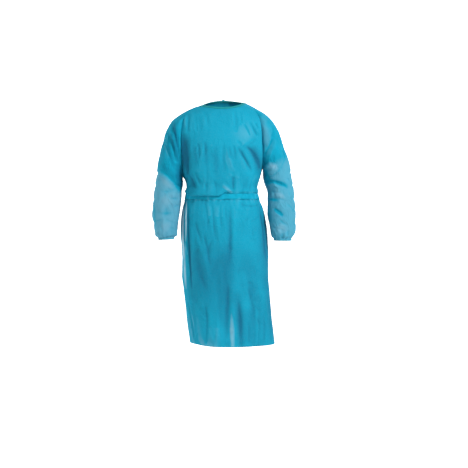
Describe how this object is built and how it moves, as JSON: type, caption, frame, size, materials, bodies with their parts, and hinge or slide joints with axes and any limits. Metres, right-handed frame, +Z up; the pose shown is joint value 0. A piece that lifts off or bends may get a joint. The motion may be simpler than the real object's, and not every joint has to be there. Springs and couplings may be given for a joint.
{
  "type": "procedure gown",
  "caption": "Long-sleeved procedure gown of thin nonwoven cloth in its hollow worn form, belted at the waist, with gathered cuffs and open neck, hem and sleeves.",
  "frame": {"origin": "middle of the neck opening, level with the sides of the neck, where the gown is held up on the shoulders", "axes": "+Z up along the gown, from the hem to the neck; +Y to the back; +X to the wearer's left"},
  "size_m": [0.654, 0.343, 1.1241],
  "materials": {
    "gown_cloth": "thin spun-bonded nonwoven, slightly sheer, soft sheen",
    "binding_cloth": "doubled nonwoven binding, a little greener and darker",
    "belt_cloth": "folded nonwoven strip",
    "cuff_elastic": "gathered nonwoven over a pale elastic"
  },
  "bodies": {
    "root": {"front_panel": "gown_cloth", "back_panel_left": "gown_cloth", "back_panel_right": "gown_cloth", "sleeve_left": "gown_cloth", "sleeve_right": "gown_cloth", "cuff_left": "cuff_elastic", "cuff_right": "cuff_elastic", "neck_binding": "binding_cloth", "neck_knot": "binding_cloth", "neck_tail_left": "binding_cloth", "neck_tail_right": "binding_cloth", "waist_belt": "belt_cloth", "waist_knot": "belt_cloth", "waist_tail_left": "belt_cloth", "waist_tail_right": "belt_cloth"}
  },
  "joints": []
}
